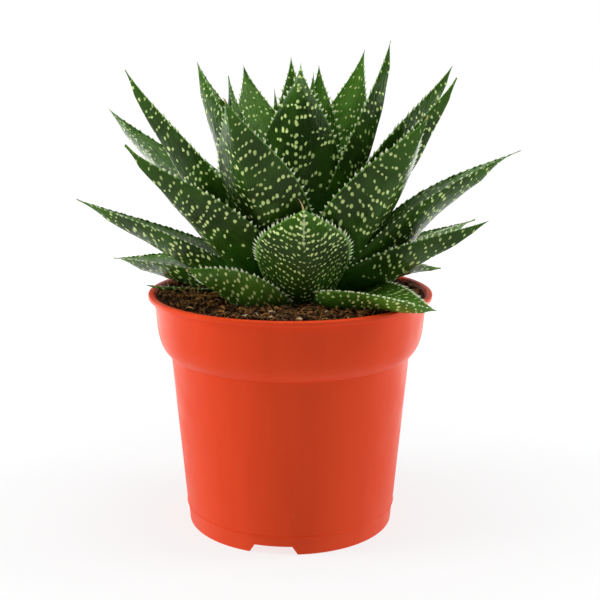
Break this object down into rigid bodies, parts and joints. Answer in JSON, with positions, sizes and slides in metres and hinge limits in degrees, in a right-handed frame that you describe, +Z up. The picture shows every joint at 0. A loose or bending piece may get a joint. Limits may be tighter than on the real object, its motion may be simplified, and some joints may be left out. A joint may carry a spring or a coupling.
{
  "type": "potted gasteria",
  "caption": "Succulent rosette of thick pointed leaves with toothed margins and pale spots, rooted in soil in a tapered plastic nursery pot with a collar and foot notches.",
  "frame": {"origin": "on the pot's axis, in the plane of the foot that the pot stands on", "axes": "+Z up; -Y is the plant's front, +X its right as seen from the front"},
  "size_m": [0.182, 0.12, 0.2035],
  "materials": {
    "pot": "satin moulded polypropylene, terracotta orange",
    "soil": "damp peat with wood fibre, perlite and grit",
    "stem": "dry corky stem and roots",
    "leaf": "waxy dark green with pale spots and white teeth"
  },
  "bodies": {
    "root": {"pot": "pot", "soil": "soil", "stem_and_roots": "stem", "leaf_01": "leaf", "leaf_02": "leaf", "leaf_03": "leaf", "leaf_04": "leaf", "leaf_05": "leaf", "leaf_06": "leaf", "leaf_07": "leaf", "leaf_08": "leaf", "leaf_09": "leaf", "leaf_10": "leaf", "leaf_11": "leaf", "leaf_12": "leaf", "leaf_13": "leaf", "leaf_14": "leaf", "leaf_15": "leaf", "leaf_16": "leaf", "leaf_17": "leaf", "leaf_18": "leaf", "leaf_19": "leaf", "leaf_20": "leaf", "leaf_21": "leaf", "leaf_22": "leaf", "leaf_23": "leaf", "leaf_24": "leaf", "leaf_25": "leaf", "leaf_26": "leaf", "leaf_27": "leaf", "leaf_28": "leaf", "leaf_29": "leaf", "leaf_30": "leaf", "leaf_31": "leaf", "leaf_32": "leaf", "leaf_33": "leaf", "leaf_34": "leaf", "leaf_35": "leaf", "leaf_36": "leaf"}
  },
  "joints": []
}
